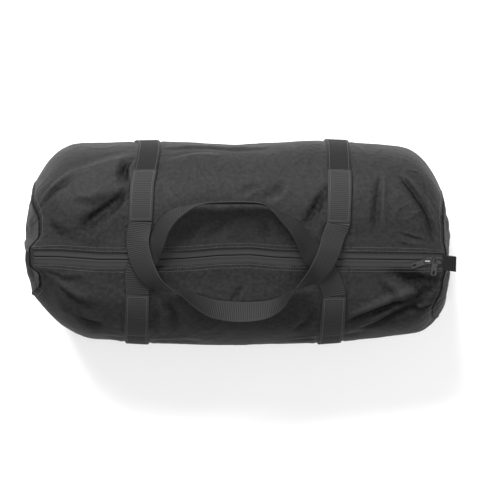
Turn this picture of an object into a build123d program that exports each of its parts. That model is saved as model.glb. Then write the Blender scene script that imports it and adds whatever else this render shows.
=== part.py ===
from build123d import *
import math
import os

# A soft carry bag of the duffel kind, as supplied with a folding strip softbox: a fabric tube with an
# end panel at each end, a long zipper along its top, two webbing bands round the outside and two
# webbing handles that lie crossed over the zipper. Millimetres, +Z up. X runs along the bag, +Y is
# the back. The origin is on the floor, under the middle of the bag.

# ---- driving sizes -------------------------------------------------------------------------------
bag_width = 345.0        # across the middle, as the bag lies filled out
fabric_top = 238.0       # height of the top panel over the floor
wall = 2.0               # fabric and lining together
seam_x = 338.0           # half the length between the two end seams
corner_radius = 114.0    # rounding of the tube's cross-section
left_bulge = 18.0        # how far the left end panel swells out past its seam
right_bulge = 14.0

webbing_width = 38.0
webbing_thick = 1.8
band_x = 160.0           # distance of each webbing band from the middle
seat = 0.3               # gap between layers that are sewn on each other

mouth_half_length = 285.0   # half length of the part of the mouth that can fold in
hinge_y = 60.0              # the fold line of each mouth strip
fold_gap = 0.3              # gap at the fold line and at the strip ends
handle_end_reach = 141.0    # how far out the doubled end of a handle is sewn down
handle_root_y = hinge_y + 1.5

zipper_half_width = 12.0    # from the middle to the fabric edge
tape_reach = 18.0           # outer edge of each zipper tape
tape_thick = 1.0
tape_gap = 0.8              # half the gap between the two tapes
coil_width = 3.4
coil_thick = 2.7
zipper_end_x = 333.5        # where the zipper slot ends

slider_length = 15.0
slider_width = 12.6
slider_plate = 1.4
slider_play = 0.4           # running clearance round the chain
bridge_length = 11.0
bridge_width = 2.4
bridge_thick = 1.4
bridge_hole = 3.8           # height of the opening under the bridge
right_slider_x = 325.0
left_slider_x = 307.5

pull_length = 28.0
pull_width = 9.4
pull_thick = 1.6
pull_arm = 1.5
left_pull_yaw = 20.0        # how far the left pull is turned towards the front
right_pull_yaw = 84.0

tab_width = 25.0
tab_thick = 1.4
tab_reach = 16.0            # how far the right tab stands out past the end seam
tab_loop_gap = 1.0

binding_width = 12.0
binding_thick = 1.5

# ---- values that follow ---------------------------------------------------------------------------
floor_level = webbing_thick + seat          # underside of the fabric: the bands lie under it
tape_top = fabric_top - wall - seat
tape_under = tape_top - tape_thick
coil_under = tape_under - coil_thick
band_in = -seat                             # insets of the outer form; below 0 is outwards
band_out = band_in - webbing_thick
end_in = band_out - seat
end_out = end_in - webbing_thick
big = 2000.0


def section(x, width, low, radius, inset):
    """One rounded cross-section of the bag, drawn in by inset."""
    middle = Plane(origin=(x, 0, (low + fabric_top) / 2), x_dir=(0, 1, 0), z_dir=(1, 0, 0))
    return middle * RectangleRounded(width - 2 * inset, fabric_top - low - 2 * inset, radius - inset)


def form(inset):
    """The tube of the bag as a solid between its end seams, drawn in by inset."""
    sunk = floor_level - 3                  # the middle is cut flat where the bag lies on the floor
    half = [
        (0.0, bag_width, sunk, corner_radius),
        (210.0, bag_width - 2, sunk, corner_radius - 1),
        (250.0, bag_width - 13, sunk + 1, corner_radius - 4),
        (290.0, bag_width - 36, sunk + 4, corner_radius - 10),
        (320.0, bag_width - 76, sunk + 12, corner_radius - 22),
        (seam_x, bag_width - 121, sunk + 24, corner_radius - 34),
    ]
    stations = [(-x, w, low, r) for x, w, low, r in reversed(half[1:])] + half
    body = loft([section(x, w, low, r, inset) for x, w, low, r in stations], ruled=True)
    above = Pos(0, 0, floor_level + inset) * Box(big, big, big, align=(Align.CENTER, Align.CENTER, Align.MIN))
    return body & above


def slab(x_low, x_high, y_low, y_high, z_low, z_high):
    """A box between the given limits."""
    size = (x_high - x_low, y_high - y_low, z_high - z_low)
    return Pos((x_low + x_high) / 2, (y_low + y_high) / 2, (z_low + z_high) / 2) * Box(*size)


# ---- fabric body ----------------------------------------------------------------------------------
def body_panel(side):
    """The front or the back half of the fabric tube, open at both ends and along the top."""
    tube = form(0) - form(wall)
    mouth_x = mouth_half_length + fold_gap
    mouth_y = hinge_y + fold_gap
    mouth = slab(-mouth_x, mouth_x, -mouth_y, mouth_y, fabric_top - 3 * wall, fabric_top + wall)
    slot = slab(-zipper_end_x, zipper_end_x, -zipper_half_width, zipper_half_width,
                fabric_top - 3 * wall, fabric_top + wall)
    half = slab(-big, big, min(0, side * big), max(0, side * big), -big, big)
    return (tube - mouth - slot) & half


def end_panel(side, bulge):
    """A round end panel, swollen outwards, with its rim on the end seam. side is -1 or 1."""
    width, low, radius = bag_width - 121, floor_level + 21, corner_radius - 34

    def dome(inset, swell):
        steps = [(0.0, 0.0), (0.55, 22.0), (0.85, 48.0), (1.0, 80.0)]
        faces = []
        for share, drawn_in in steps:
            x = side * (seam_x + share * swell)
            plane = Plane(origin=(x, 0, (low + fabric_top) / 2), x_dir=(0, 1, 0), z_dir=(side, 0, 0))
            cut = drawn_in + inset
            faces.append(plane * RectangleRounded(width - 2 * cut, fabric_top - low - 2 * cut,
                                                  max(radius - cut, 18.0)))
        return loft(faces)

    return dome(0, bulge) - dome(wall, bulge - wall)


def seam_binding(side):
    """The tape that binds the raw edges of an end seam, inside the bag."""
    ring = form(wall + seat) - form(wall + seat + binding_thick)
    end = side * (seam_x - seat)
    start = end - side * binding_width
    return ring & slab(min(start, end), max(start, end), -big, big, -big, tape_under - 8)


def mouth_strip(side):
    """The strip of top panel between a zipper tape and the fold line. side is -1 front, 1 back."""
    near, far = side * zipper_half_width, side * (hinge_y - fold_gap)
    return slab(-mouth_half_length, mouth_half_length, min(near, far), max(near, far),
                fabric_top - wall, fabric_top)


# ---- zipper ---------------------------------------------------------------------------------------
def tape(side, x_low, x_high):
    """One zipper tape, lying under the fabric edge."""
    near, far = side * tape_gap, side * tape_reach
    return slab(x_low, x_high, min(near, far), max(near, far), tape_under, tape_top)


def coil(side, x_low, x_high):
    """The envelope of one row of coil, sewn under its tape."""
    near, far = side * tape_gap, side * (tape_gap + coil_width)
    bar = slab(x_low, x_high, min(near, far), max(near, far), coil_under, tape_under)
    return bar


def slider(x, nose):
    """A slider round the chain at x. nose is the side, -1 or 1, that the two tapes part on."""
    under = coil_under - slider_play
    over = tape_top + slider_play
    half_l, half_w = slider_length / 2, slider_width / 2
    tail_w = half_w - 1.8
    outline = Polyline((-half_l, -tail_w), (0, -half_w), (half_l, -half_w + 0.6), (half_l, half_w - 0.6),
                       (0, half_w), (-half_l, tail_w), close=True)
    plate = make_face(outline)
    plate = fillet(plate.vertices(), 1.2)
    lower = Pos(0, 0, under - slider_plate) * extrude(plate, slider_plate)
    upper = Pos(0, 0, over) * extrude(plate, slider_plate)
    chain_half = tape_gap + coil_width + slider_play
    rim = Pos(0, 0, under) * extrude(plate, tape_under - slider_play - under)
    rim -= slab(-half_l, half_l, -chain_half, chain_half, under - 1, tape_under)
    post_half = tape_gap - slider_play
    post = slab(half_l - 6, half_l - 2, -post_half, post_half, under, over)
    base = over + slider_plate
    bridge = slab(-bridge_length / 2, bridge_length / 2, -bridge_width / 2, bridge_width / 2,
                  base, base + bridge_hole + bridge_thick)
    bridge = fillet(bridge.edges().filter_by(Axis.Y).group_by(Axis.Z)[-1], 2.0)
    hole_half = bridge_length / 2 - bridge_thick
    hole = slab(-hole_half, hole_half, -bridge_width, bridge_width, base, base + bridge_hole)
    bridge -= fillet(hole.edges().filter_by(Axis.Y).group_by(Axis.Z)[-1], 0.8)
    whole = lower + upper + rim + post + bridge
    if nose < 0:
        whole = Rot(0, 0, 180) * whole
    return Pos(x, 0, 0) * whole


pull_plane = tape_top + slider_play + slider_plate + bridge_hole / 2


def pull_shape():
    """A pull lying flat along -X, with the middle of its cross bar at the origin."""
    half_w, bar = pull_width / 2, 0.8
    window = 6.2
    plate = Pos(bar - pull_length / 2, 0) * RectangleRounded(pull_length, pull_width, 2.2)
    eye = Pos(-bar - window / 2, 0) * RectangleRounded(window, pull_width - 2 * pull_arm, 0.9)
    grip = Pos(-pull_length + 5.6, 0) * SlotOverall(7.0, 3.6)
    panel = Pos(-pull_length / 2 - 2.2, 0) * RectangleRounded(9.5, pull_width - 3.6, 1.2)
    tab = extrude(plate - eye - grip, pull_thick / 2, both=True)
    recess = Pos(0, 0, pull_thick / 2 - 0.35) * extrude(panel, 1.0)
    return tab - recess


def left_pull():
    """The pull that points along the zipper, turned a little to the front."""
    return Pos(left_slider_x, 0, pull_plane) * Rot(0, 0, left_pull_yaw) * pull_shape()


right_pull_post_x = right_slider_x - bridge_length / 2 + bridge_thick / 2
post_to_bar = 2.7


def right_pull():
    """The pull that hangs sideways, round the left post of its bridge."""
    turned = Rot(0, 0, right_pull_yaw) * Pos(post_to_bar, 0, 0) * pull_shape()
    return Pos(right_pull_post_x, 0, pull_plane) * turned


def zipper_stop(side):
    """The metal stop past the last turn of coil."""
    start = side * (zipper_end_x - 4.5 + seat)
    end = side * (zipper_end_x - 1.0)
    reach = tape_gap + coil_width
    return slab(min(start, end), max(start, end), -reach, reach, coil_under, tape_under)


# ---- webbing --------------------------------------------------------------------------------------
def band(side):
    """A webbing band round the bag, from one side of the mouth under the bag to the other."""
    layer = form(band_out) - form(band_in)
    x = side * band_x
    strap = layer & slab(x - webbing_width / 2, x + webbing_width / 2, -big, big, -big, big)
    above = fabric_top - corner_radius
    return strap - slab(-big, big, -handle_root_y, handle_root_y, above, big)


def handle_end(end_side, row_side):
    """The doubled, sewn-down end of a handle, on top of a band."""
    layer = form(end_out) - form(end_in)
    x = end_side * band_x
    near, far = row_side * handle_root_y, row_side * handle_end_reach
    above = fabric_top - corner_radius
    return layer & slab(x - webbing_width / 2, x + webbing_width / 2, min(near, far), max(near, far), above, big)


strap_z = fabric_top - end_in + webbing_thick / 2      # middle of the strap where it leaves its end
root_gap = handle_root_y - 0.6


def smooth(rows, steps):
    """Points of a smooth curve through rows of numbers, with its direction in the first three."""
    found = []
    for p0, p1, p2, p3 in zip(rows, rows[1:], rows[2:], rows[3:]):
        for i in range(steps):
            t = i / steps
            weights = (-t + 2 * t**2 - t**3, 2 - 5 * t**2 + 3 * t**3, t + 4 * t**2 - 3 * t**3, t**3 - t**2)
            slopes = (-1 + 4 * t - 3 * t**2, -10 * t + 9 * t**2, 1 + 8 * t - 9 * t**2, 3 * t**2 - 2 * t)
            spot = [sum(w * v for w, v in zip(weights, values)) / 2 for values in zip(p0, p1, p2, p3)]
            way = [sum(w * v for w, v in zip(slopes, values)) / 2 for values in zip(p0, p1, p2, p3)]
            found.append((spot, way))
    found.append((list(rows[-2]), [b - a for a, b in zip(rows[-3], rows[-1])]))
    return found


def strap(row_side, curve):
    """A webbing strap. Each row of curve is x, y, degrees that the strap stands up, and lift."""
    root = row_side * root_gap
    rows = [(-band_x, root + row_side * 30, strap_z, 0), (-band_x, root, strap_z, 0)]
    for x, y, lean, lift in curve:
        rise = webbing_width / 2 * math.sin(math.radians(lean))
        rows.append((x, y, fabric_top + 1.5 + rise + lift, lean))
    rows += [(band_x, root, strap_z, 0), (band_x, root + row_side * 30, strap_z, 0)]
    faces = []
    for (x, y, z, lean), way in smooth(rows, 3):
        along = Vector(*way[:3]).normalized()
        if (x, y) in ((-band_x, root), (band_x, root)):
            along = Vector(0, math.copysign(1, way[1]), 0)
        inner = Vector(-along.Y, along.X, 0).normalized() * row_side
        rise = along.cross(inner) * row_side
        across = inner * math.cos(math.radians(lean)) + rise * math.sin(math.radians(lean))
        plane = Plane(origin=(x, y, z), x_dir=across, z_dir=along)
        faces.append(plane * Rectangle(webbing_width, webbing_thick))
    return loft(faces, ruled=True)


def back_handle():
    """The handle sewn to the back, which lies forward over the other one."""
    return strap(1, [
        (-163, 31, 10, 6), (-157, 4, 13, 12), (-143, -23, 28, 12), (-122, -41, 55, 8), (-86, -55, 90, 1),
        (-62, -68, 112, 0), (-34, -80, 130, 0), (3, -85, 137, 0), (43, -82, 130, 0), (68, -72, 112, 0),
        (88, -53, 90, 2), (111, -33, 58, 10), (134, -10, 22, 14), (146, 15, 14, 12), (153, 40, 8, 4),
    ])


def front_handle():
    """The handle sewn to the front, which lies back, under the other one."""
    return strap(-1, [
        (-162, -22, 8, 2), (-145, 4, 14, 2), (-132, 30, 46, 0), (-124, 52, 54, 0), (-111, 70, 62, 0),
        (-90, 84, 82, 0), (-68, 93, 98, 0), (-40, 96, 105, 0), (28, 96, 105, 0), (50, 87, 95, 0),
        (68, 73, 82, 0), (90, 55, 62, 0), (103, 38, 52, 0), (117, 16, 34, 0), (136, -7, 14, 2),
        (152, -36, 6, 2),
    ])


def tab_shape(length):
    """A folded webbing loop along +X, with its cut ends at the origin and its lower layer on z = 0."""
    thick = 2 * tab_thick + tab_loop_gap
    outer = slab(0, length, -tab_width / 2, tab_width / 2, 0, thick)
    outer = fillet(outer.edges().filter_by(Axis.Y).group_by(Axis.X)[-1], thick / 2 - 0.05)
    inner = slab(-1, length - tab_thick, -tab_width, tab_width, tab_thick, tab_thick + tab_loop_gap)
    return outer - inner


def right_tab():
    """The grab tab that stands out past the right end of the zipper."""
    length = seam_x + tab_reach - zipper_end_x - seat
    return Pos(zipper_end_x + seat, 0, fabric_top + seat) * tab_shape(length)


def left_tab():
    """The grab tab at the left end, folded down over the end panel."""
    droop = 58.0
    start = Pos(-seam_x - 1.2, -3.0, fabric_top - 1.0)
    return start * Rot(0, 0, 180) * Rot(0, droop, 0) * tab_shape(20.0)


# ---- write the parts ------------------------------------------------------------------------------
def pair(make, *limits):
    """The front and the back one of something, as one node."""
    return Compound(children=[make(-1, *limits), make(1, *limits)])


os.makedirs("parts", exist_ok=True)
coil_end_x = zipper_end_x - 4.5
fixed_x = mouth_half_length + fold_gap
parts = {
    "body_panel_front": body_panel(-1),
    "body_panel_back": body_panel(1),
    "end_panel_left": end_panel(-1, left_bulge),
    "end_panel_right": end_panel(1, right_bulge),
    "seam_binding_left": seam_binding(-1),
    "seam_binding_right": seam_binding(1),
    "mouth_strip_front": mouth_strip(-1),
    "mouth_strip_back": mouth_strip(1),
    "zipper_tape_front": tape(-1, -mouth_half_length, mouth_half_length),
    "zipper_tape_back": tape(1, -mouth_half_length, mouth_half_length),
    "zipper_coil_front": coil(-1, -mouth_half_length, mouth_half_length),
    "zipper_coil_back": coil(1, -mouth_half_length, mouth_half_length),
    "zipper_tape_end_left": pair(tape, -zipper_end_x, -fixed_x),
    "zipper_tape_end_right": pair(tape, fixed_x, zipper_end_x),
    "zipper_coil_end_left": pair(coil, -coil_end_x, -fixed_x),
    "zipper_coil_end_right": pair(coil, fixed_x, coil_end_x),
    "zipper_stop_left": zipper_stop(-1),
    "zipper_stop_right": zipper_stop(1),
    "slider_left": slider(left_slider_x, 1),
    "slider_right": slider(right_slider_x, -1),
    "pull_left": left_pull(),
    "pull_right": right_pull(),
    "band_left": band(-1),
    "band_right": band(1),
    "back_handle": back_handle(),
    "front_handle": front_handle(),
    "end_tab_left": left_tab(),
    "end_tab_right": right_tab(),
}
for end_name, end_side in (("left", -1), ("right", 1)):
    for row_name, row_side in (("back", 1), ("front", -1)):
        parts[f"handle_end_{row_name}_{end_name}"] = handle_end(end_side, row_side)
for name, solid in parts.items():
    export_step(solid, f"parts/{name}.step")
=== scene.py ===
import bpy
import math
import numpy as np
from mathutils import Matrix, Vector, noise


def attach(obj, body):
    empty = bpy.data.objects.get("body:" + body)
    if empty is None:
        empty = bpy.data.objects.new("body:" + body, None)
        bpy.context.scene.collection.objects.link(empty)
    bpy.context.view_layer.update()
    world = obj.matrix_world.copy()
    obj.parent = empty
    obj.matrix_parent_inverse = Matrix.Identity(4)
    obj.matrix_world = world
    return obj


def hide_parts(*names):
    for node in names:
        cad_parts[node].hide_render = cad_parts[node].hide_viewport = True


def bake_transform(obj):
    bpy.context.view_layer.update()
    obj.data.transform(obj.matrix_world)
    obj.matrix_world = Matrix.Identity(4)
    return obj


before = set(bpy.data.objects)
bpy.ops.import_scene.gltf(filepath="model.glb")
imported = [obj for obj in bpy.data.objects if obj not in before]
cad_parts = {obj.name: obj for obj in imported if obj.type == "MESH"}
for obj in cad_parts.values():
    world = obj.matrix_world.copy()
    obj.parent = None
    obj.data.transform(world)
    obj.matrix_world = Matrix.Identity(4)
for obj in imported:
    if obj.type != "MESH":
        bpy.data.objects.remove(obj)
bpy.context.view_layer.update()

# ---- sizes, in millimetres --------------------------------------------------------------------
TOP, FLOOR = 238.0, 2.1             # top panel, and the underside of the fabric over the floor
HALF_WIDTH, CORNER = 172.5, 114.0
SEAM = 338.0                        # end seams
SLOT_EDGE, FOLD_LINE = 12.0, 60.0   # edges of each mouth strip
SLOT_END = 333.5                    # ends of the slot for the zipper
WALL, SEAT = 2.0, 0.3
BAND_X, WEB, WEB_THICK = 160.0, 38.0, 1.8
PATCH_NEAR, PATCH_FAR = 61.5, 150.0
RIB = 3.0                           # pitch of the ribs woven across the webbing
STRAP_SKEW = 0.037                  # how far straps and bands lean along the bag, for each mm across it
STITCH_ENDS = 331.0                 # ends of the stitching beside the zipper
SIDES = ((-1, "left"), (1, "right"))
ROWS = ((1, "back"), (-1, "front"))


# ---- meshes ------------------------------------------------------------------------------------
def make_mesh(name, points, faces, finish, body=None, nodes=(), marks=None):
    """A smooth mesh from points in millimetres, riding on a body and replacing the nodes it is drawn for."""
    mesh = bpy.data.meshes.new(name)
    mesh.from_pydata((np.asarray(points, float).reshape(-1, 3) * 0.001).tolist(), [], faces)
    mesh.shade_smooth()
    for mark, values in (marks or {}).items():
        layer = mesh.attributes.new(mark, "FLOAT", "POINT")
        layer.data.foreach_set("value", np.asarray(values, np.float32).ravel())
    mesh.materials.append(finish)
    piece = bpy.data.objects.new(name, mesh)
    bpy.context.scene.collection.objects.link(piece)
    if body:
        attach(piece, body)
    if nodes:
        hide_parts(*nodes)
    return piece


def grid_faces(rows, cols, closed=False):
    """Quads of a grid of points, closed round its columns if asked."""
    r, c = np.meshgrid(np.arange(rows - 1), np.arange(cols if closed else cols - 1), indexing="ij")
    n = (c + 1) % cols
    corners = [r * cols + c, r * cols + n, (r + 1) * cols + n, (r + 1) * cols + c]
    return np.stack(corners, -1).reshape(-1, 4).tolist()


def ease(value, low, high):
    """0 below low, 1 above high, and smooth between."""
    t = np.clip((np.asarray(value, float) - low) / (high - low), 0, 1)
    return t * t * (3 - 2 * t)


# ---- the bag's outer form ------------------------------------------------------------------------
def half_section():
    """Half of the middle cross-section, from the zipper to just past the middle of the underside."""
    flat = HALF_WIDTH - CORNER
    turn = np.radians(np.arange(0, 90.1, 1.0))
    low = FLOOR - 3 + CORNER
    y = np.concatenate([np.arange(0, flat, 1.0), flat + CORNER * np.sin(turn), flat + CORNER * np.cos(turn)])
    z = np.concatenate([np.full(len(np.arange(0, flat, 1.0)), TOP), TOP - CORNER + CORNER * np.cos(turn),
                        low - CORNER * np.sin(turn)])
    keep = z > FLOOR
    y, z = np.append(y[keep], 0.0), np.append(z[keep], FLOOR)
    y, z = np.append(y, -6.0), np.append(z, FLOOR)
    steps = np.hypot(np.diff(y), np.diff(z))
    return np.concatenate([[0], np.cumsum(steps)]), y, z


ARC, ARC_Y, ARC_Z = half_section()
HALF_ROUND = ARC[-2]                # arc from the zipper to the middle of the underside

# The filled bag in plan: each side is a long shallow arc with a rounded shoulder at both ends. A shoulder is
# its length, how far it draws the side in at the end seam, and how late it turns.
BACK_SIDE = {"middle": 100, "full": 171.5, "thinner": (0.3, 3.5), "sag": 4.5, "left": (80, 66, 2.4),
             "right": (88, 66, 3.2)}
FRONT_SIDE = {"middle": 20, "full": 171.5, "thinner": (1.6, 2.8), "sag": 0.0, "left": (110, 72, 2.15),
              "right": (40, 22, 2.3)}


def side_reach(x, middle, full, thinner, sag, left, right):
    """Half width of one side of the bag at x. thinner is the arc's fall over 100 mm, to the left and right."""
    out = x - middle
    found = full - np.where(out < 0, *thinner) * (out / 100) ** 2 - sag * np.exp(-(((x + 15) / 65) ** 2))
    for end, (length, drop, turn) in ((-1, left), (1, right)):
        found = found - drop * np.clip((end * x - SEAM + length) / length, 0, 1) ** turn
    return found


def reach(x, back):
    """Half width of the bag at x, with the slight roll of the bag on its bed."""
    return np.where(back, side_reach(x, **BACK_SIDE) + 0.01 * x, side_reach(x, **FRONT_SIDE) - 0.01 * x)


ZIPPER_WAVE = [(-290, 0), (-225, -4), (-150, -4), (-80, -0.5), (-30, 4.5), (20, 6), (60, 2.5), (120, 0.5),
               (200, 0.5), (290, 0)]  # x along the zipper, and how far it lies to the back there


def zipper_wave(x):
    """Sideways wave of the zipper, gone near both ends, where the sliders park."""
    places, shifts = zip(*ZIPPER_WAVE)
    return np.interp(x, places, shifts)


def arc_at(y):
    """Arc from the zipper to a point y across, on the upper half of the middle section."""
    upper = ARC_Z > TOP - CORNER
    return np.sign(y) * np.interp(np.abs(y), ARC_Y[upper], ARC[upper])


VALLEY_FLOOR = 3.0                  # half width of the rounded floor of a fold
DEEPER, NARROWER = 1.35, 0.8        # shares of the listed depth and width that every fold gets


def crease(x, a, path, depth, width, lip):
    """A fold along path, a list of (x, y): a valley of that depth, with a low ridge on its left side."""
    px = np.array([p[0] for p in path], float)
    pa = np.array([arc_at(p[1]) for p in path], float)
    run = np.concatenate([[0], np.cumsum(np.hypot(np.diff(px), np.diff(pa)))])
    best = np.full(np.shape(x), 1e9)
    side, place = np.zeros(np.shape(x)), np.zeros(np.shape(x))
    for i in range(len(px) - 1):
        dx, da = px[i + 1] - px[i], pa[i + 1] - pa[i]
        length = math.hypot(dx, da)
        t = np.clip(((x - px[i]) * dx + (a - pa[i]) * da) / length**2, 0, 1)
        away = np.hypot(x - px[i] - t * dx, a - pa[i] - t * da)
        turn = np.sign(dx * (a - pa[i]) - da * (x - px[i]))
        near = away < best
        best, side = np.where(near, away, best), np.where(near, turn, side)
        place = np.where(near, (run[i] + t * length) / run[-1], place)
    fade = np.sin(np.pi * np.clip(place, 0.01, 0.99)) ** 0.8
    wide = width * (0.7 + 0.6 * place)
    off = best * side
    blunt = np.sqrt(off**2 + VALLEY_FLOOR**2) - VALLEY_FLOOR
    valley = -np.exp(-(blunt / wide) ** 1.3)
    ridge = lip * np.exp(-((off - 1.9 * wide) / (1.2 * wide)) ** 2)
    return depth * fade * (valley + ridge)


# the larger folds: (x, y) points along each, then depth, width and how high the ridge beside it stands
CREASES = [
    ([(-301, 126), (-212, 154), (-168, 163)], -3.5, 11, 0.2),
    ([(-334, 120), (-285, 127), (-258, 139)], 3.5, 5, 0.7),
    ([(-176, 124), (-197, 101), (-218, 83), (-244, 61), (-252, 40)], 6.5, 6.5, -0.6),
    ([(-181, 162), (-192, 146), (-186, 128), (-180, 120)], 5.0, 4, 0.8),
    ([(-196, 160), (-199, 140), (-190, 118)], 3.0, 4, -0.8),
    ([(-268, 96), (-236, 92), (-206, 104)], 2.5, 8, 0.5),
    ([(-320, 70), (-290, 40), (-262, 34)], 1.8, 9, 0.5),
    ([(-126, 156), (-80, 162), (-36, 163)], -2.5, 6, 0.3),
    ([(144, 130), (134, 108), (112, 70), (106, 50)], 4.5, 5, -0.7),
    ([(228, 140), (222, 96), (221, 42)], 3.2, 6, 0.7),
    ([(262, 140), (286, 120), (312, 92)], 4.0, 6, 0.7),
    ([(300, 120), (318, 70), (322, 34)], 3.0, 7, 0.6),
    ([(258, 30), (278, 24), (302, 18)], 1.6, 3.2, 0.6),
    ([(262, 46), (284, 38), (306, 34)], 1.6, 3.2, 0.6),
    ([(168, -120), (200, -110), (235, -97), (286, -78), (324, -62)], 6.5, 9.5, 0.7),
    ([(205, -134), (235, -122), (261, -108), (316, -80)], 5.0, 8.5, 0.6),
    ([(238, -16), (262, -22), (290, -44), (306, -58), (328, -70)], 6.5, 9, -0.6),
    ([(232, -40), (252, -66), (262, -92)], 2.6, 8, 0.6),
    ([(284, -96), (306, -104), (330, -100)], 3.5, 6, 0.6),
    ([(-262, -112), (-240, -122), (-214, -124)], 3.0, 8, 0.6),
    ([(-300, -60), (-262, -84), (-226, -92)], 2.6, 9, 0.6),
    ([(-318, -30), (-286, -44), (-240, -40)], 1.8, 8, 0.5),
    ([(-118, -72), (-100, -96), (-92, -130)], 3.0, 9, 0.5),
    ([(-136, -70), (-128, -100), (-132, -140)], 2.2, 7, 0.5),
    ([(12, -48), (4, -60), (-6, -74)], 2.2, 4.5, 0.7),
    ([(36, 62), (42, 44), (38, 22)], 1.8, 10, 0.8),
    ([(-10, 66), (-34, 46), (-52, 26)], 1.6, 11, 0.8),
    ([(-60, 60), (-84, 34), (-92, 20)], 1.4, 9, 0.8),
    ([(72, 130), (60, 112), (36, 100)], 2.4, 8, 0.6),
    ([(40, 122), (12, 118), (-2, 106)], 1.8, 6, 0.6),
    ([(96, -128), (120, -112), (130, -84)], 2.4, 8, 0.6),
    ([(-150, 168), (-60, 171), (60, 169)], 2.0, 7, 0.5),
    ([(60, -160), (140, -150), (220, -142)], 2.6, 8, 0.6),
    ([(-220, -150), (-140, -158), (-40, -156)], 2.2, 9, 0.6),
]


def soft_noise(x, a, size, seed):
    """Smooth random height, from about -1 to 1, with hills of that size."""
    flat_x, flat_a = np.ravel(x) / size, np.ravel(a) / size
    found = [noise.noise(Vector((p, q, seed))) for p, q in zip(flat_x.tolist(), flat_a.tolist())]
    return np.reshape(found, np.shape(x)) * 1.6


def fold_height(x, a):
    """Height of the cloth's larger folds: below 0 in a valley, above 0 on a ridge."""
    loose = np.zeros(np.shape(x))
    for path, depth, width, lip in CREASES:
        loose += crease(x, a, path, DEEPER * depth, NARROWER * width, lip)
    return loose


def folds(x, a):
    """How far the cloth stands off the bag's plain form, from its folds and its slack."""
    loose = fold_height(x, a)
    slack = 1.7 * soft_noise(x, a, 78, 3.1) + 0.5 * soft_noise(x + 0.5 * a, a * 0.6, 34, 7.7)
    for turn, size, height, seed in ((0.45, 30, 0.9, 12.3), (-0.8, 22, 0.6, 16.9)):
        line = 1 - np.abs(soft_noise(x * 0.7 - turn * a, a * 0.8 + turn * x * 0.3, size, seed))
        patchy = ease(soft_noise(x, a, 60, seed + 3), -0.15, 0.7)
        slack += height * (line**6 - 0.2) * patchy
    to_band = np.minimum(np.abs(x - BAND_X), np.abs(x + BAND_X)) - WEB / 2
    held = ease(to_band, -4, 20)
    to_slot = ease(np.abs(a), 12, 42)
    low = ease(HALF_ROUND - np.abs(a), 60, 130)
    pucker = 0.8 * np.exp(-np.clip(to_band, 0, 99) / 10) * soft_noise(0.4 * x, a, 8, 31.5)
    pucker = pucker * ease(to_band, 0.5, 3)
    pucker += 0.5 * np.exp(-np.clip(np.abs(a) - 14, 0, 99) / 8) * soft_noise(x, 0.3 * a, 7, 41.5)
    pucker -= 1.3 * np.exp(-(((to_band - 3.2) / 2.6) ** 2))
    seam = 0.75 * np.exp(-(SEAM - np.abs(x)) / 14) * soft_noise(0.2 * x, a, 9, 21.5)
    total = (loose + slack - 1.2) * held * to_slot * (0.3 + 0.7 * low)
    total = total + (pucker + seam) * low * ease(np.abs(a), 12, 20)
    crossing = ease(190 - np.abs(x), 0, 25) * ease(130 - np.abs(a), 0, 25)
    return np.where(total > 0.3, 0.3 + (total - 0.3) * (1 - crossing), total)


def plain_form(x, a):
    """The bag's form without folds: x along it, a round it from the zipper, above 0 to the back."""
    away = np.abs(a)
    y0, z0 = np.interp(away, ARC, ARC_Y), np.interp(away, ARC, ARC_Z)
    wide = (reach(x, a > 0) - SLOT_EDGE) / (HALF_WIDTH - SLOT_EDGE)
    y = np.where(y0 > SLOT_EDGE, SLOT_EDGE + (y0 - SLOT_EDGE) * wide, y0) * np.where(a < 0, -1, 1)
    lift = 21.0 * ease(np.abs(x), 262, 342) ** 1.3
    z = TOP - (TOP - z0) * (TOP - FLOOR - lift) / (TOP - FLOOR)
    y = y + zipper_wave(x) * ease(90 - y0, 0, 78)
    z = z - 7.0 * ease(np.abs(x), 285, 338) * ease(y0, 16, 90) * ease(z0, 120, 210)
    bend = (2.5 - 5.5 * np.clip(x / BAND_X, -1, 1)) * ease(y, 110, 168)
    skew = (STRAP_SKEW * y + bend) * ease(z, 20, 150) * ease(300 - np.abs(x), 0, 120)
    left_top = 15.0 * ease(172 - away, 0, 80)
    right_top = 4.0 * ease(190 - away, 0, 90) + 13.0 * ease(a, -250, -170) * ease(-a, 60, 135)
    drawn = np.where(x < 0, left_top, -right_top) * ease(np.abs(x), 270, 338) * ease(away, 13, 58)
    return np.stack([x + skew + drawn, y, z], -1)


def skin(x, a, off=0.0):
    """Points of the outer cloth at (x, a), moved out by off, and the outward directions there."""
    x, a = np.broadcast_arrays(np.asarray(x, float), np.asarray(a, float))
    step = 0.8
    places = [(x, a), (x + step, a), (x, a + step)]
    forms = [plain_form(px, pa) for px, pa in places]

    def outward(middle, along, round_):
        way = np.cross(round_ - middle, along - middle)
        return way / np.linalg.norm(way, axis=-1, keepdims=True)

    out = -outward(*forms)
    raised = [form + out * folds(px, pa)[..., None] for form, (px, pa) in zip(forms, places)]
    facing = -outward(*raised)
    return raised[0] + facing * np.asarray(off)[..., None], facing


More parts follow.
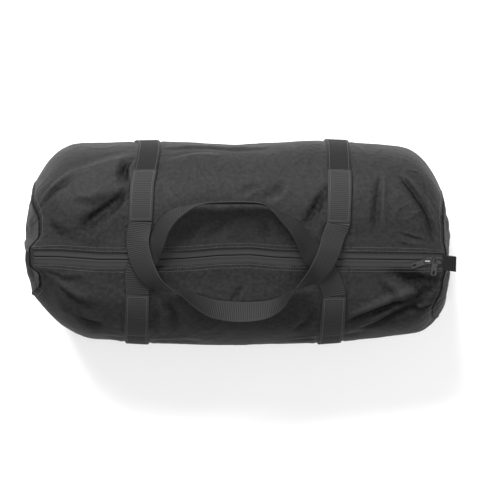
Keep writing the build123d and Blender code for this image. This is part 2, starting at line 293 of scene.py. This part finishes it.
# ---- materials ----------------------------------------------------------------------------------
class Value:
    """A shader number that can be written in sums."""

    def __init__(self, finish, socket):
        self.finish, self.socket = finish, socket

    def sum(self, operation, other, swapped=False):
        first, second = (other, self) if swapped else (self, other)
        return self.finish.node("ShaderNodeMath", {"operation": operation}, {0: first, 1: second})

    def __add__(self, other):
        return self.sum("ADD", other)

    def __sub__(self, other):
        return self.sum("SUBTRACT", other)

    def __rsub__(self, other):
        return self.sum("SUBTRACT", other, True)

    def __mul__(self, other):
        return self.sum("MULTIPLY", other)

    __radd__, __rmul__ = __add__, __mul__

    def power(self, other):
        return self.sum("POWER", other)

    def wave(self):
        return self.sum("SINE", 0.0)

    def size(self):
        return self.sum("ABSOLUTE", 0.0)

    def between(self, low, high):
        """0 at low, 1 at high, held there outside."""
        return self.finish.node("ShaderNodeMapRange", {"interpolation_type": "SMOOTHSTEP"},
                                {"Value": self, "From Min": low, "From Max": high})


class Finish:
    """One procedural material."""

    def __init__(self, name, **fixed):
        self.material = bpy.data.materials.new(name)
        self.material.use_nodes = True
        self.shader = self.material.node_tree.nodes["Principled BSDF"]
        for socket, value in fixed.items():
            self.shader.inputs[socket.replace("_", " ")].default_value = value

    def node(self, kind, settings=None, values=None, output=0):
        """Any node, from its type, its settings and what goes into its sockets."""
        made = self.material.node_tree.nodes.new(kind)
        for setting, value in (settings or {}).items():
            setattr(made, setting, value)
        for socket, value in (values or {}).items():
            self.give(made.inputs[socket], value)
        return Value(self, made.outputs[output])

    def give(self, socket, value):
        """Link a Value to a socket, or set the socket to a plain value."""
        if isinstance(value, Value):
            self.material.node_tree.links.new(value.socket, socket)
        else:
            socket.default_value = value

    def place(self):
        return self.node("ShaderNodeTexCoord", output="Object")

    def along(self, axis):
        """Distance along an axis, in millimetres."""
        return self.node("ShaderNodeSeparateXYZ", None, {0: self.place()}, output=axis) * 1000.0

    def mark(self, name):
        return self.node("ShaderNodeAttribute", {"attribute_name": name}, output="Fac")

    def speckle(self, scale, detail=3.0, rough=0.55):
        given = {"Vector": self.place(), "Scale": scale, "Detail": detail, "Roughness": rough}
        return self.node("ShaderNodeTexNoise", None, given, output=0)

    def tint(self, dark, light, share):
        return self.node("ShaderNodeMix", {"data_type": "RGBA"},
                         {"Factor": share, 6: (*dark, 1.0), 7: (*light, 1.0)}, output=2)

    def set(self, **inputs):
        for socket, value in inputs.items():
            self.give(self.shader.inputs[socket.replace("_", " ")], value)

    def relief(self, height, depth, strength=1.0):
        bump = self.node("ShaderNodeBump", None,
                         {"Strength": strength, "Distance": depth * 0.001, "Height": height})
        self.set(Normal=bump)


def nylon_cloth(name, dark, light, gloss):
    """Packcloth: a close plain weave with a dull, slightly coated face, with painted shade in its fold valleys
    and painted highlight on its fold ridges.
    """
    cloth = Finish(name, Specular_IOR_Level=gloss)
    threads = (cloth.along("X") * 6.6).wave() * (cloth.along("Y") * 6.6 + cloth.along("Z") * 6.6).wave()
    grain = cloth.speckle(900.0, 2.0)
    patch = cloth.speckle(16.0, 4.0, 0.6)
    mottle = cloth.speckle(170.0, 4.0, 0.7)
    crush = cloth.speckle(60.0, 6.0, 0.68)
    # Painted shade and highlight: the colour darkens in fold valleys and lightens on fold ridges, read from
    # the stored fold height.
    crease_shade_and_ridge_highlight = cloth.mark("fold").between(-7.0, 3.5) - 0.74
    share = patch * 0.25 + (mottle * 2.0 - 0.5) * 0.55 + grain * 0.2 + crease_shade_and_ridge_highlight * 0.5
    cloth.set(Base_Color=cloth.tint(dark, light, share), Roughness=0.42 + patch * 0.16 + grain * 0.1)
    cloth.relief(threads * 0.1 + grain * 0.2 + crush * 2.6 + mottle * 0.7, 0.6, 0.95)
    return cloth.material


def coated_lining():
    """The inside face of the cloth, with its waterproof coat."""
    cloth = Finish("coated_lining", Specular_IOR_Level=0.35)
    crush = cloth.speckle(45.0, 5.0, 0.6)
    cloth.set(Base_Color=cloth.tint((0.012, 0.012, 0.0124), (0.022, 0.022, 0.023), crush),
              Roughness=0.34 + crush * 0.2)
    cloth.relief(crush + cloth.speckle(700.0, 1.0) * 0.1, 0.7, 0.7)
    return cloth.material


def ribbed_webbing(name, dark, light, rib_shade_share=0.8):
    """Heavy webbing: ribs across it, each of small slanting yarns, and a smooth selvedge. Its colour carries
    painted shade in the valleys between ribs and painted highlight on the rib tops and selvedges.
    """
    web = Finish(name, Specular_IOR_Level=0.16)
    along, across = web.mark("along"), web.mark("across")
    rib = (along * (math.pi / RIB)).wave().size()
    yarn = ((across * 5.2) + (along * 1.3)).wave()
    fuzz = web.speckle(650.0, 3.0)
    selvedge_highlight = across.size().between(WEB * 0.36, WEB * 0.5)
    # Painted shade and highlight: darker in the valleys between ribs, lighter on the rib tops and along both
    # selvedges.
    share = rib.power(1.6) * rib_shade_share + fuzz * (1.15 - rib_shade_share) + selvedge_highlight * 0.1 - 0.1
    web.set(Base_Color=web.tint(dark, light, share), Roughness=0.52 + fuzz * 0.22)
    web.relief(yarn * 0.22 + fuzz * 0.35 + rib * 0.2, 0.4, 0.9)
    return web.material


def woven_tape(name, dark, light, pitch):
    """Thin tape with a herringbone weave."""
    tape = Finish(name, Specular_IOR_Level=0.2)
    slant = (tape.along("X") * pitch + tape.along("Y").size() * pitch).wave()
    fuzz = tape.speckle(800.0, 2.0)
    tape.set(Base_Color=tape.tint(dark, light, slant * 0.3 + fuzz * 0.5 + 0.1), Roughness=0.55 + fuzz * 0.2)
    tape.relief(slant * 0.4 + fuzz * 0.4, 0.3, 0.8)
    return tape.material


def sewing_thread():
    """Twisted bonded nylon thread."""
    thread = Finish("sewing_thread", Specular_IOR_Level=0.5)
    twist = (thread.along("X") * 9.0 + thread.along("Y") * 9.0).wave()
    thread.set(Base_Color=thread.tint((0.014, 0.014, 0.014), (0.062, 0.0615, 0.0605), twist * 0.5 + 0.5),
               Roughness=0.45 + twist * 0.08)
    return thread.material


def enamelled_metal(name, top_wear_highlight_share):
    """Die-cast metal in black enamel, rubbed bright in random chips where it wears, and turned bright bare
    metal across its top as a painted highlight.
    """
    metal = Finish(name, Specular_IOR_Level=0.22, Coat_Roughness=0.3)
    chips = metal.speckle(520.0, 5.0, 0.65)
    # Painted highlight as well as wear: above the given height the top of the metal turns bright bare metal,
    # more strongly on the left slider.
    high = metal.along("Z").between(TOP + 3.6, TOP + 5.0)
    wear_and_painted_highlight = (high * top_wear_highlight_share * 4.0 + chips * 0.5).between(0.42, 0.62)
    metal.set(Base_Color=metal.tint((0.0035, 0.0035, 0.0037), (0.17, 0.17, 0.175), wear_and_painted_highlight),
              Metallic=wear_and_painted_highlight * 0.95, Roughness=0.34 + chips * 0.16, Coat_Weight=0.06 - wear_and_painted_highlight * 0.05)
    metal.relief(chips, 0.06, 0.5)
    return metal.material


def coil_nylon():
    """Moulded nylon monofilament."""
    coil = Finish("coil_nylon", Specular_IOR_Level=0.5)
    grain = coil.speckle(300.0, 3.0)
    coil.set(Base_Color=coil.tint((0.006, 0.006, 0.0063), (0.016, 0.016, 0.0168), grain),
             Roughness=0.3 + grain * 0.15)
    coil.relief(grain, 0.1, 0.4)
    return coil.material


def pale_floor():
    """A plain, very slightly mottled studio floor."""
    floor = Finish("pale_floor", Specular_IOR_Level=0.2)
    mottle = floor.speckle(3.0, 2.0)
    floor.set(Base_Color=floor.tint((0.93, 0.93, 0.93), (0.95, 0.95, 0.95), mottle),
              Roughness=0.8 + mottle * 0.1)
    return floor.material


CLOTH = nylon_cloth("nylon_cloth", (0.0005, 0.0005, 0.0006), (0.0235, 0.0232, 0.0235), 0.09)
# Painted shade: the end panels get a darker copy of the nylon cloth, standing in for the shade on the bag's
# ends.
END_CLOTH_DARKENED_FOR_SHADE = nylon_cloth("end_cloth", (0.0010, 0.0010, 0.0011), (0.0170, 0.0168, 0.0170), 0.06)
# Painted shade: the seam lips get a still darker copy of the cloth, so each seam reads as a dark shaded line
# and does not catch light.
SEAM_CLOTH_DARKENED_FOR_SHADE = nylon_cloth("seam_cloth", (0.0015, 0.0015, 0.0016), (0.0045, 0.0045, 0.0045), 0.06)
LINING, THREAD = coated_lining(), sewing_thread()
WEBBING = ribbed_webbing("ribbed_webbing", (0.0005, 0.0005, 0.0005), (0.0215, 0.0211, 0.0208), 1.0)
PATCH = ribbed_webbing("doubled_webbing", (0.005, 0.0049, 0.0048), (0.0255, 0.0251, 0.0248), 0.45)
BAND = ribbed_webbing("band_webbing", (0.0006, 0.0006, 0.0006), (0.0036, 0.0035, 0.0034), 0.6)
TAB = ribbed_webbing("tab_webbing", (0.0015, 0.0015, 0.0015), (0.0045, 0.0045, 0.0045))
TAPE = woven_tape("zipper_tape", (0.008, 0.008, 0.0082), (0.030, 0.030, 0.031), 3.4)
BINDING = woven_tape("binding_tape", (0.004, 0.004, 0.004), (0.010, 0.010, 0.010), 2.6)
METAL, WORN_METAL_WITH_HIGHLIGHT = enamelled_metal("enamelled_metal", 0.04), enamelled_metal("worn_metal_with_highlight", 0.1)
COIL = coil_nylon()


# ---- cloth pieces ---------------------------------------------------------------------------------
def cloth_span(x, a, off=0.0):
    """A grid of skin points over x and a, and its shape."""
    grid_x, grid_a = np.meshgrid(x, a, indexing="ij")
    points, _ = skin(grid_x, grid_a, off)
    return points, grid_x.shape


def body_cloth():
    """The outer cloth of the tube, as a back and a front half, and its lining."""
    x = np.linspace(-SEAM, SEAM, 361)
    for row, name in ROWS:
        a = row * np.linspace(FOLD_LINE, HALF_ROUND, 250)
        points, shape = cloth_span(x, a)
        # The fold height is stored for the cloth's painted crease shade and ridge highlight.
        marks = {"fold": fold_height(*np.meshgrid(x, a, indexing="ij"))}
        nodes = (f"body_panel_{name}",)
        make_mesh(f"body_cloth_{name}", points, grid_faces(*shape), CLOTH, "bag", nodes, marks)
        inner_a = row * np.linspace(FOLD_LINE, HALF_ROUND, 90)
        inner, shape = cloth_span(np.linspace(-SEAM, SEAM, 150), inner_a, -WALL)
        make_mesh(f"body_lining_{name}", inner, grid_faces(*shape), LINING, "bag")


def strip_profile():
    """Across a mouth strip: (arc, offset) from its fold line to its turned-in edge, and back underneath."""
    flat = [(a, 0.0) for a in np.linspace(FOLD_LINE, SLOT_EDGE + 1.0, 34)]
    roll = [(SLOT_EDGE + 0.2, -0.1), (SLOT_EDGE - 0.4, -0.5), (SLOT_EDGE - 0.6, -1.1), (SLOT_EDGE - 0.2, -1.7),
            (SLOT_EDGE + 1.2, -2.0)]
    under = [(a, -WALL) for a in np.linspace(SLOT_EDGE + 3, FOLD_LINE, 22)]
    return np.array(flat + roll + under)


def fold_in(piece):
    """Bakes a half of a strip, tape or coil into its place, with no transform left on it."""
    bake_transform(piece)


def half_range(half, count, end=SLOT_END):
    """Places from the middle of the bag to one end of the zipper."""
    return np.linspace(0, half * end, count)


def zipper_nodes(kind, row, row_name, half):
    """What one half of a tape or coil is drawn for: its row, or the fixed ends on one side of the bag."""
    if half < 0:
        return f"{kind}_{row_name}"
    return f"{kind}_end_left" if row < 0 else f"{kind}_end_right"


def mouth_strips():
    """The cloth from each fold line to the zipper, with its turned-in edge."""
    profile = strip_profile()
    for row, row_name in ROWS:
        for half, half_name in SIDES:
            x = half_range(half, 170, SEAM)
            grid_x, grid_a = np.meshgrid(x, row * profile[:, 0], indexing="ij")
            points, _ = skin(grid_x, grid_a, np.broadcast_to(profile[:, 1], grid_x.shape))
            piece = make_mesh(f"mouth_strip_{row_name}_{half_name}", points, grid_faces(*grid_x.shape), CLOTH,
                              marks={"fold": fold_height(grid_x, grid_a)})
            fold_in(piece)
            if half < 0:
                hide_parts(f"mouth_strip_{row_name}")


def zipper_tapes():
    """The two tapes, raised a little where the coil runs under them."""
    across = np.array([0.55, 0.8, 1.6, 2.6, 3.8, 4.8, 5.8, 8, 11, 14, 18])
    raised = np.array([-0.5, 0.0, 0.28, 0.34, 0.26, 0.0, -0.1, -0.05, 0, 0, 0])
    around = np.concatenate([across, across[::-1]])
    off = -WALL - SEAT + np.concatenate([raised, np.full(len(across), -0.9)])
    for row, row_name in ROWS:
        for half, half_name in SIDES:
            grid_x, grid_a = np.meshgrid(half_range(half, 200), row * around, indexing="ij")
            points, _ = skin(grid_x, grid_a, np.broadcast_to(off, grid_x.shape))
            piece = make_mesh(f"zipper_tape_{row_name}_{half_name}", points,
                              grid_faces(*grid_x.shape, closed=True), TAPE)
            fold_in(piece)
            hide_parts(zipper_nodes("zipper_tape", row, row_name, half))


def zipper_coils():
    """Each row of coil: flattened turns that mesh under the slit between the tapes."""
    pitch, length, thread = 1.9, 328.0, 0.32
    sides, ring = 4, 10
    turn = np.linspace(0, 2 * np.pi, ring, endpoint=False)
    for row, row_name in ROWS:
        for half, half_name in SIDES:
            count = int(length / pitch)
            steps = np.arange(count * ring)
            angle = np.tile(turn, count)
            x = half * (steps / ring * pitch + 0.3) + (0.4 if row > 0 else -0.4)
            a = row * (2.4 + 1.25 * np.cos(angle))
            down = -WALL - SEAT - 2.4 - 0.95 * np.sin(angle)
            line, facing = skin(x, a, down)
            way = np.gradient(line, axis=0)
            way /= np.linalg.norm(way, axis=1, keepdims=True)
            side = np.cross(way, facing)
            side /= np.linalg.norm(side, axis=1, keepdims=True)
            up = np.cross(side, way)
            tilt = np.radians(np.arange(sides) * 90.0 + 45)
            around = side[:, None] * np.cos(tilt)[:, None] + up[:, None] * np.sin(tilt)[:, None]
            piece = make_mesh(f"zipper_coil_{row_name}_{half_name}", line[:, None] + thread * around,
                              grid_faces(len(line), sides, closed=True), COIL)
            fold_in(piece)
            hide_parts(zipper_nodes("zipper_coil", row, row_name, half))


def end_panels():
    """The swollen end panels, gathered a little at the seam, with their lining and inner binding."""
    a = np.concatenate([np.linspace(0, HALF_ROUND, 150), -np.linspace(HALF_ROUND, 0, 150)[1:-1]])
    full = ease(-a, 20, 110) * ease(a, -HALF_ROUND, -HALF_ROUND + 150)
    for side, name, bulge, round_ in ((-1, "left", 16.5, 1.5 + 0 * a), (1, "right", 14.0, 2.0 + 3.5 * full)):
        rim, _ = skin(np.full(len(a), side * SEAM), a)
        middle = rim.mean(axis=0)
        share = np.linspace(0, 1, 44) ** 0.8
        rows, inner = [], []
        for s in share:
            spot = rim + (middle - rim) * s
            swell = 1 - (1 - s) ** round_
            wobble = [noise.noise(Vector((p[1] / 48, p[2] / 48, 5 + side))) * 5.0
                      + (abs(noise.noise(Vector((p[1] / 30 + p[2] / 90, p[2] / 60, 9 + side)))) - 0.2) * 5.0
                      for p in spot.tolist()]
            gather = soft_noise(np.zeros(len(a)), a, 10, 51.5 + side) * 1.1 * math.exp(-s * 7) * min(1, s * 12)
            slack = np.array(wobble) * ease(s, 0, 0.35) - 1.5 * float(ease(s, 0, 0.3)) + gather
            spot[:, 0] = rim[:, 0] * (1 - swell) + side * (SEAM + bulge) * swell
            spot[:, 0] += side * np.minimum(slack, 1.5)
            rows.append(spot.copy())
            spot[:, 0] -= side * WALL
            inner.append(spot)
        faces = grid_faces(len(share), len(a), closed=True)
        # The end cloth is the darker copy of the nylon, as painted shade.
        make_mesh(f"end_cloth_{name}", np.array(rows), faces, END_CLOTH_DARKENED_FOR_SHADE, "bag", (f"end_panel_{name}",))
        make_mesh(f"end_lining_{name}", np.array(inner), faces, LINING, "bag")
        arcs = a[np.abs(a) > 8]
        ring_x = side * (SEAM - np.array([0.6, 0.6, 12.0, 12.0]))
        off = -WALL - SEAT - np.array([0.0, 1.5, 1.5, 0.0])
        grid_a, grid_x = np.meshgrid(np.sort(arcs), ring_x, indexing="ij")
        back = grid_a[:, 0] > 0
        for row, keep in (("back", back), ("front", ~back)):
            points, _ = skin(grid_x[keep], grid_a[keep], np.broadcast_to(off, grid_x[keep].shape))
            nodes = (f"seam_binding_{name}",) if row == "back" else ()
            faces = grid_faces(*grid_x[keep].shape, closed=True)
            make_mesh(f"seam_binding_{name}_{row}", points, faces, BINDING, "bag", nodes)


def seam_piping():
    """The raised, topstitched lip of cloth along each end seam, and the cloth past each end of the zipper."""
    for side, name in SIDES:
        for row, row_name in ROWS:
            a = row * np.linspace(0, HALF_ROUND, 240)
            ring = np.radians(np.arange(0, 360, 45))
            grid_a, grid_t = np.meshgrid(a, ring, indexing="ij")
            lip_x = side * (SEAM - 0.6) + 1.5 * side * np.cos(grid_t)
            points, _ = skin(lip_x, grid_a, 0.15 + np.sin(grid_t))
            faces = grid_faces(*grid_a.shape, closed=True)
            # The lip wears the darkened seam cloth, as painted shade along the seam.
            make_mesh(f"seam_lip_{name}_{row_name}", points, faces, SEAM_CLOTH_DARKENED_FOR_SHADE, "bag")
        x = side * np.linspace(SLOT_END - 2.0, SEAM, 8)
        points, shape = cloth_span(x, np.linspace(-SLOT_EDGE - 1, SLOT_EDGE + 1, 16), 0.1)
        make_mesh(f"slot_end_{name}", points, grid_faces(*shape), CLOTH, "bag")


# ---- webbing ---------------------------------------------------------------------------------------
def web_ring():
    """Across a webbing: (place from -1 to 1, height from -1 to 1) round its section."""
    top = [-1, -0.975, -0.94, -0.9, -0.75, -0.5, -0.25, 0, 0.25, 0.5, 0.75, 0.9, 0.94, 0.975, 1]
    high = [0, 0.75, 1.06, 1.1, 1, 1, 1, 1, 1, 1, 1, 1.1, 1.06, 0.75, 0]
    return np.array(list(zip(top, high)) + [(u, -h) for u, h in list(zip(top, high))[-2:0:-1]])


def ribs(along, u):
    """Height of the woven ribs, gone at the selvedges."""
    return 0.42 * (np.abs(np.sin(np.pi * along / RIB)) ** 0.8 - 0.6) * ease(0.93 - np.abs(u), 0, 0.1)


def webbing(name, count, place, length, thick, width, body=None, nodes=(), finish=None):
    """A webbing from place(share, across, height), all arrays, which gives its points in millimetres."""
    ring = web_ring()
    share = np.linspace(0, 1, count)
    grid_s, grid_u = np.meshgrid(share, ring[:, 0], indexing="ij")
    height = np.broadcast_to(ring[:, 1], grid_s.shape)
    along = grid_s * length
    raised = height * thick / 2 + np.sign(height) * ribs(along, grid_u) * (np.abs(height) > 0.5)
    points = place(grid_s, grid_u * width / 2, raised)
    faces = grid_faces(*grid_s.shape, closed=True)
    cols = grid_s.shape[1]
    faces += [list(range(cols))[::-1], list(range((count - 1) * cols, count * cols))]
    marks = {"along": along, "across": grid_u * width / 2}
    return make_mesh(name, points, faces, finish or WEBBING, body, nodes, marks)


def on_skin(x, low, high, off):
    """A way to lay webbing on the cloth, from arc low to arc high at x."""

    def place(share, across, height):
        return skin(x + across, low + (high - low) * share, off + height)[0]

    return place


def arc_for(x, y):
    """Arc of the cloth that lies y across at x."""
    row = math.copysign(1, y)
    a = row * np.linspace(20, 140, 600)
    across = np.abs(plain_form(np.full(600, x), a)[:, 1])
    return row * float(np.interp(abs(y), across, np.abs(a)))


def bands():
    """The webbing bands round the bag, each in a back and a front half that meet underneath."""
    for side, name in SIDES:
        for row, row_name in ROWS:
            near = arc_for(side * BAND_X, row * PATCH_NEAR)
            length = HALF_ROUND - abs(near)
            nodes = (f"band_{name}",) if row > 0 else ()
            band = on_skin(side * BAND_X, near, row * HALF_ROUND, SEAT + WEB_THICK / 2)
            webbing(f"band_{name}_{row_name}", 620, band, length, WEB_THICK, WEB, "bag", nodes, BAND)
            patch = on_skin(side * BAND_X, near, row * PATCH_FAR, 2 * SEAT + WEB_THICK * 1.5)
            node = f"handle_end_{row_name}_{name}"
            webbing(node, 150, patch, PATCH_FAR - abs(near), WEB_THICK, WEB - 0.6, "bag", (node,), PATCH)


# the routes of the handles: x, y, lean in degrees from flat to on edge, and height over the top panel
BACK_HANDLE = [
    (-163, 31, 10, 6), (-157, 4, 13, 12), (-143, -23, 28, 12), (-122, -41, 55, 8), (-86, -55, 90, 1),
    (-62, -68, 112, 0), (-34, -80, 130, 0), (3, -85, 137, 0), (43, -82, 130, 0), (68, -72, 112, 0),
    (88, -53, 90, 2), (111, -33, 58, 10), (134, -10, 22, 14), (146, 15, 14, 12), (153, 40, 8, 4)]
FRONT_HANDLE = [
    (-162, -22, 8, 2), (-145, 4, 14, 2), (-132, 30, 46, 0), (-124, 52, 54, 0), (-111, 70, 62, 0),
    (-90, 84, 82, 0), (-68, 93, 98, 0), (-40, 96, 105, 0), (28, 96, 105, 0), (50, 87, 95, 0),
    (68, 73, 82, 0), (90, 55, 62, 0), (103, 38, 52, 0), (117, 16, 34, 0), (136, -7, 14, 2),
    (152, -36, 6, 2)]


def curve_through(rows, steps):
    """A smooth curve through rows of numbers, and its slopes."""
    rows = np.array(rows, float)
    spots, ways = [], []
    for i in range(len(rows) - 3):
        p0, p1, p2, p3 = rows[i:i + 4]
        t = (np.arange(steps) / steps)[:, None]
        spots.append(((-t + 2 * t**2 - t**3) * p0 + (2 - 5 * t**2 + 3 * t**3) * p1
                      + (t + 4 * t**2 - 3 * t**3) * p2 + (t**3 - t**2) * p3) / 2)
        ways.append(((-1 + 4 * t - 3 * t**2) * p0 + (-10 * t + 9 * t**2) * p1
                     + (1 + 8 * t - 9 * t**2) * p2 + (3 * t**2 - 2 * t) * p3) / 2)
    return np.vstack(spots + [rows[-2:-1]]), np.vstack(ways + [(rows[-1:] - rows[-3:-2]) / 2])


def handle(name, row, rows, body, node):
    """A webbing handle that leaves its sewn ends flat and stands up on edge along its middle."""
    root = row * (PATCH_NEAR - 0.6)
    level = TOP + 2 * SEAT + WEB_THICK * 1.5
    path = [(-BAND_X, root + row * 30, level, 0), (-BAND_X, root, level, 0)]
    path += [(x, y, TOP + 1.5 + WEB / 2 * math.sin(math.radians(lean)) + lift, lean)
             for x, y, lean, lift in rows]
    path += [(BAND_X, root, level, 0), (BAND_X, root + row * 30, level, 0)]
    spots, ways = curve_through(path, 40)
    run = np.concatenate([[0], np.cumsum(np.linalg.norm(np.diff(spots[:, :3], axis=0), axis=1))])
    length = run[-1]

    def place(share, across, height):
        at = share[:, 0] * length
        spot = np.stack([np.interp(at, run, spots[:, k]) for k in range(4)], -1)
        way = np.stack([np.interp(at, run, ways[:, k]) for k in range(3)], -1)
        way[0], way[-1] = (0, -row, 0), (0, row, 0)
        way /= np.linalg.norm(way, axis=1, keepdims=True)
        inner = np.stack([-way[:, 1], way[:, 0], np.zeros(len(way))], -1) * row
        inner /= np.linalg.norm(inner, axis=1, keepdims=True)
        rise = np.cross(way, inner) * row
        lean = np.radians(spot[:, 3])[:, None]
        wide = inner * np.cos(lean) + rise * np.sin(lean)
        out = rise * np.cos(lean) - inner * np.sin(lean)
        points = spot[:, None, :3] + wide[:, None] * across[..., None] + out[:, None] * height[..., None]
        points[..., 0] += STRAP_SKEW * points[..., 1]
        return points

    return webbing(name, int(length / 0.75), place, length, WEB_THICK, WEB, body, (node,))


def tab_loop(name, node, start, turn, length, gap):
    """A folded 25 mm webbing tab that leaves start, turned down by turn degrees."""
    wide, thick = 25.0, 1.4
    bend = (thick + gap) / 2
    straight = length - bend
    total = 2 * straight + math.pi * bend

    def place(share, across, height):
        at = share * total
        angle = np.clip((at - straight) / bend, 0, math.pi)
        flat = np.where(at < straight, at, np.where(at > total - straight, total - at, straight))
        out = flat + bend * np.sin(angle) + np.sin(angle) * height
        up = -bend * np.cos(angle) - np.cos(angle) * height
        c, s = math.cos(math.radians(turn)), math.sin(math.radians(turn))
        side = math.copysign(1, start[0])
        return np.stack([start[0] + side * (out * c + up * s), start[1] + across - 0.14 * out,
                         start[2] - out * s + up * c], -1)

    return webbing(name, 110, place, total, thick - 0.25, wide, "bag", (node,), TAB)


def end_tabs():
    """The grab tab at the right end and the short tab folded down at the left end."""
    right_start = (SLOT_END + SEAT, -2.6, TOP + SEAT + 1.9)
    left_start = (-SEAM + 3.0, -3, TOP + 0.6)
    tab_loop("end_tab_right_loop", "end_tab_right", right_start, turn=2.0, length=20.2, gap=1.0)
    tab_loop("end_tab_left_loop", "end_tab_left", left_start, turn=60.0, length=17.0, gap=1.0)


# ---- stitching -----------------------------------------------------------------------------------
class Stitches:
    """Collects runs of stitches into one piece."""

    def __init__(self):
        self.points, self.faces = [], []

    def run(self, x0, a0, x1, a1, off, pitch=4.2, radius=0.34):
        """A row of stitches over the skin from (x0, a0) to (x1, a1)."""
        length = math.hypot(x1 - x0, a1 - a0)
        count = max(2, int(length / pitch))
        middle = (np.arange(count) + 0.5) / count
        half = 0.36 / count
        shares = np.stack([middle - half, middle - half * 0.6, middle + half * 0.6, middle + half], -1)
        line, facing = skin(x0 + (x1 - x0) * shares, a0 + (a1 - a0) * shares, off)
        way = line[:, -1] - line[:, 0]
        way /= np.linalg.norm(way, axis=1, keepdims=True)
        side = np.cross(way[:, None], facing)
        tall = np.array([0.15, 1.0, 1.0, 0.15]) * radius
        ring = np.radians(np.arange(0, 360, 60))
        sunk = line + facing * (np.array([-0.3, 0.1, 0.1, -0.3]) * radius)[:, None]
        points = (sunk[:, :, None] + side[:, :, None] * (np.cos(ring)[:, None] * tall[:, None, None])
                  + facing[:, :, None] * (np.sin(ring)[:, None] * tall[:, None, None]))
        faces = np.array(grid_faces(4, len(ring), closed=True))
        start = sum(len(p) for p in self.points)
        for i in range(count):
            self.points.append(points[i].reshape(-1, 3))
            self.faces += (faces + start + i * 4 * len(ring)).tolist()

    def make(self, name, body=None):
        return make_mesh(name, np.concatenate(self.points), self.faces, THREAD, body)


def stitching():
    """Topstitching along the zipper, the seams and the webbing."""
    for row, row_name in ROWS:
        for half, half_name in SIDES:
            rows = Stitches()
            for a in (row * 14.6, row * 20.4):
                rows.run(0, a, half * STITCH_ENDS, a, 0.0)
            fold_in(rows.make(f"zipper_stitching_{row_name}_{half_name}"))
    seams = Stitches()
    for side in (-1, 1):
        for row in (-1, 1):
            x = side * (SEAM - 6)
            seams.run(x, row * 14, x, row * (HALF_ROUND - 4), 0.0)
    seams.make("seam_stitching", "bag")
    webs = Stitches()
    for side in (-1, 1):
        for row in (-1, 1):
            off = SEAT + WEB_THICK + 0.12
            for x in (side * BAND_X - 15.6, side * BAND_X + 15.6):
                webs.run(x, row * (PATCH_FAR + 2), x, row * (HALF_ROUND - 70), off)
            top = 2 * SEAT + 2 * WEB_THICK + 0.1
            left, right = side * BAND_X - 15.4, side * BAND_X + 15.4
            near, far = arc_for(side * BAND_X, row * PATCH_NEAR) + row * 3.4, row * (PATCH_FAR - 3.4)
            for x in (left, right):
                webs.run(x, near, x, far, top, 3.8, 0.42)
            for a in (near, far):
                webs.run(left, a, right, a, top, 3.8, 0.42)
    webs.make("webbing_stitching", "bag")


# ---- metal ---------------------------------------------------------------------------------------
def metal_pieces():
    """The sliders, pulls and stops keep their CAD shape, with eased edges and enamel."""
    for name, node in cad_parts.items():
        if name.startswith(("slider", "pull", "zipper_stop")):
            node.data.materials.clear()
            # The left slider gets the stronger painted highlight on its top.
            node.data.materials.append(WORN_METAL_WITH_HIGHLIGHT if name == "slider_left" else METAL)
            soften = node.modifiers.new("eased_edges", "BEVEL")
            soften.width, soften.segments, soften.limit_method = 0.00022, 2, "ANGLE"
            soften.angle_limit = math.radians(40)


# ---- studio --------------------------------------------------------------------------------------
def studio():
    """Pale floor, soft light from the back and above, and the camera almost straight above."""
    mesh = bpy.data.meshes.new("floor")
    mesh.from_pydata([(-6, -6, 0), (6, -6, 0), (6, 6, 0), (-6, 6, 0)], [], [(0, 1, 2, 3)])
    mesh.materials.append(pale_floor())
    floor = bpy.data.objects.new("floor", mesh)
    bpy.context.scene.collection.objects.link(floor)
    world = bpy.data.worlds.new("studio_world")
    world.use_nodes = True
    world.node_tree.nodes["Background"].inputs[0].default_value = (1, 1, 1, 1)
    world.node_tree.nodes["Background"].inputs[1].default_value = 0.3
    bpy.context.scene.world = world
    lamps = (("back_softbox", (-0.8, 2.6, 2.1), 1.6, 285), ("top_fill", (0.5, -0.4, 3.4), 2.3, 92))
    for name, spot, size, power in lamps:
        lamp = bpy.data.lights.new(name, "AREA")
        lamp.size, lamp.energy = size, power
        light = bpy.data.objects.new(name, lamp)
        light.location = spot
        light.rotation_euler = (Vector((0, 0, 0.15)) - Vector(spot)).to_track_quat("-Z", "Y").to_euler()
        bpy.context.scene.collection.objects.link(light)
    target, distance = Vector((0.0073, 0.002, 0.12)), 4.3
    back, left = math.radians(12.7), math.radians(0.3)
    way = Vector((-math.sin(left), math.sin(back), 1)).normalized()
    camera_data = bpy.data.cameras.new("camera")
    camera_data.lens, camera_data.sensor_width = 192.0, 36.0
    camera = bpy.data.objects.new("camera", camera_data)
    camera.location = target + way * distance
    across = Vector((0, 1, 0)).cross(way).normalized()
    across = (across + 0.01 * way.cross(across)).normalized()
    camera.rotation_euler = Matrix((across, way.cross(across), way)).transposed().to_euler()
    bpy.context.scene.collection.objects.link(camera)
    bpy.context.scene.camera = camera
    bpy.context.scene.view_settings.view_transform = "Standard"


body_cloth()
mouth_strips()
zipper_tapes()
zipper_coils()
end_panels()
seam_piping()
bands()
handle("back_handle_strap", 1, BACK_HANDLE, "back_carry_handle", "back_handle")
handle("front_handle_strap", -1, FRONT_HANDLE, "front_carry_handle", "front_handle")
end_tabs()
stitching()
metal_pieces()
studio()
bpy.context.view_layer.update()
